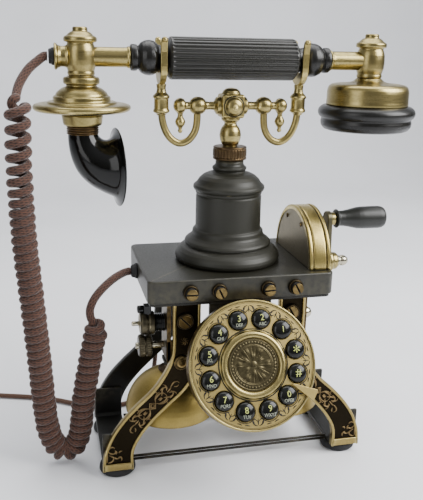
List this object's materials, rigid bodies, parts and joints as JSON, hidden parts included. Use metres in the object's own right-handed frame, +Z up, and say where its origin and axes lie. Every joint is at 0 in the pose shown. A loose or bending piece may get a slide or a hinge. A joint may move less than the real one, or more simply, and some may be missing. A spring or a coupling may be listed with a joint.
{
  "type": "rotary telephone",
  "caption": "Skeleton table telephone in old brass and black: handset on a forked cradle, round push-button dial, side crank, curved legs, curly braided cord.",
  "frame": {"origin": "on the table, under the middle of the telephone without its cords", "axes": "+Z up, +X to the right of the dial along the handset, +Y to the back, so the dial faces -Y and tilts up"},
  "size_m": [0.396, 0.2553, 0.3054],
  "materials": {
    "black_iron": "satin dark olive black lacquer",
    "brass": "antique brass, brushed and toned",
    "bronze": "dark bronze patina with bright edges",
    "gloss_black": "gloss black",
    "rubber": "matt black",
    "braid": "red-brown woven sleeve",
    "board": "green circuit board",
    "clear_plug": "clear moulded plug"
  },
  "bodies": {
    "base": {"base_frame": "black_iron", "box_cover": "black_iron", "box_floor": "black_iron", "column": "black_iron", "dial_bracket": "black_iron", "ringer_frame": "black_iron", "dial_housing": "brass", "dial_face": "brass", "finger_stop": "brass", "gong_left": "brass", "gong_right": "brass", "generator_drum": "brass", "leg_front_left": "bronze", "leg_front_right": "bronze", "leg_rear_left": "bronze", "leg_rear_right": "bronze", "column_collar": "bronze", "dial_medallion": "bronze", "side_bracket_left": "bronze", "side_bracket_right": "bronze", "hook_switch": "gloss_black", "foot_front_left": "rubber", "foot_front_right": "rubber", "foot_rear_left": "rubber", "foot_rear_right": "rubber", "curly_gland": "rubber", "line_gland": "rubber", "curly_coil": "braid", "curly_lead_base": "braid", "line_cord": "braid", "line_coil": "braid", "circuit_board": "board", "line_plug": "clear_plug"},
    "handset": {"handset_grip": "gloss_black", "transmitter_arm": "brass", "receiver_arm": "brass", "transmitter_cup": "brass", "mouth_horn": "gloss_black", "receiver_shell": "brass", "ear_cap": "gloss_black", "curly_lead_top": "braid"},
    "cradle": {"cradle_post": "brass", "cradle_hook_left": "brass", "cradle_hook_right": "brass"},
    "crank": {"crank_arm": "black_iron"},
    "crank_grip": {"crank_handle": "gloss_black"},
    "volume": {"volume_wheel": "bronze"},
    "striker": {"clapper": "brass"},
    "button_1_body": {"button_1": "gloss_black"},
    "button_2_body": {"button_2": "gloss_black"},
    "button_3_body": {"button_3": "gloss_black"},
    "button_4_body": {"button_4": "gloss_black"},
    "button_5_body": {"button_5": "gloss_black"},
    "button_6_body": {"button_6": "gloss_black"},
    "button_7_body": {"button_7": "gloss_black"},
    "button_8_body": {"button_8": "gloss_black"},
    "button_9_body": {"button_9": "gloss_black"},
    "button_star_body": {"button_star": "gloss_black"},
    "button_0_body": {"button_0": "gloss_black"},
    "button_hash_body": {"button_hash": "gloss_black"}
  },
  "joints": [
    {"name": "handset_lift", "type": "slide", "parent": "base", "child": "handset", "axis": [0, 0, 1], "range_m": [0, 0.14]},
    {"name": "cradle_rise", "type": "slide", "parent": "base", "child": "cradle", "axis": [0, 0, 1], "range_m": [0, 0.004]},
    {"name": "crank_turn", "type": "hinge", "parent": "base", "child": "crank", "pos_m": [0.06802, 0.01404, 0.1425], "axis": [1, 0, 0], "continuous": true},
    {"name": "crank_handle_spin", "type": "hinge", "parent": "crank", "child": "crank_grip", "pos_m": [0.09802, 0.01404, 0.175], "axis": [1, 0, 0], "continuous": true},
    {"name": "volume_turn", "type": "hinge", "parent": "base", "child": "volume", "pos_m": [-0.06598, -0.00096, 0.0922], "axis": [1, 0, 0], "range_deg": [-135, 135]},
    {"name": "clapper_swing", "type": "hinge", "parent": "base", "child": "striker", "pos_m": [-0.00198, 0.00904, 0.08], "axis": [0, 1, 0], "range_deg": [-5.5, 5.5]},
    {"name": "button_1_press", "type": "slide", "parent": "base", "child": "button_1_body", "axis": [0, 0.9063, -0.4226], "range_m": [0, 0.0018], "stiffness_N_per_m": 250},
    {"name": "button_2_press", "type": "slide", "parent": "base", "child": "button_2_body", "axis": [0, 0.9063, -0.4226], "range_m": [0, 0.0018], "stiffness_N_per_m": 250},
    {"name": "button_3_press", "type": "slide", "parent": "base", "child": "button_3_body", "axis": [0, 0.9063, -0.4226], "range_m": [0, 0.0018], "stiffness_N_per_m": 250},
    {"name": "button_4_press", "type": "slide", "parent": "base", "child": "button_4_body", "axis": [0, 0.9063, -0.4226], "range_m": [0, 0.0018], "stiffness_N_per_m": 250},
    {"name": "button_5_press", "type": "slide", "parent": "base", "child": "button_5_body", "axis": [0, 0.9063, -0.4226], "range_m": [0, 0.0018], "stiffness_N_per_m": 250},
    {"name": "button_6_press", "type": "slide", "parent": "base", "child": "button_6_body", "axis": [0, 0.9063, -0.4226], "range_m": [0, 0.0018], "stiffness_N_per_m": 250},
    {"name": "button_7_press", "type": "slide", "parent": "base", "child": "button_7_body", "axis": [0, 0.9063, -0.4226], "range_m": [0, 0.0018], "stiffness_N_per_m": 250},
    {"name": "button_8_press", "type": "slide", "parent": "base", "child": "button_8_body", "axis": [0, 0.9063, -0.4226], "range_m": [0, 0.0018], "stiffness_N_per_m": 250},
    {"name": "button_9_press", "type": "slide", "parent": "base", "child": "button_9_body", "axis": [0, 0.9063, -0.4226], "range_m": [0, 0.0018], "stiffness_N_per_m": 250},
    {"name": "button_star_press", "type": "slide", "parent": "base", "child": "button_star_body", "axis": [0, 0.9063, -0.4226], "range_m": [0, 0.0018], "stiffness_N_per_m": 250},
    {"name": "button_0_press", "type": "slide", "parent": "base", "child": "button_0_body", "axis": [0, 0.9063, -0.4226], "range_m": [0, 0.0018], "stiffness_N_per_m": 250},
    {"name": "button_hash_press", "type": "slide", "parent": "base", "child": "button_hash_body", "axis": [0, 0.9063, -0.4226], "range_m": [0, 0.0018], "stiffness_N_per_m": 250}
  ],
  "couplings": [
    {"joint": "cradle_rise", "follows": "handset_lift", "ratio": 0.028571}
  ]
}
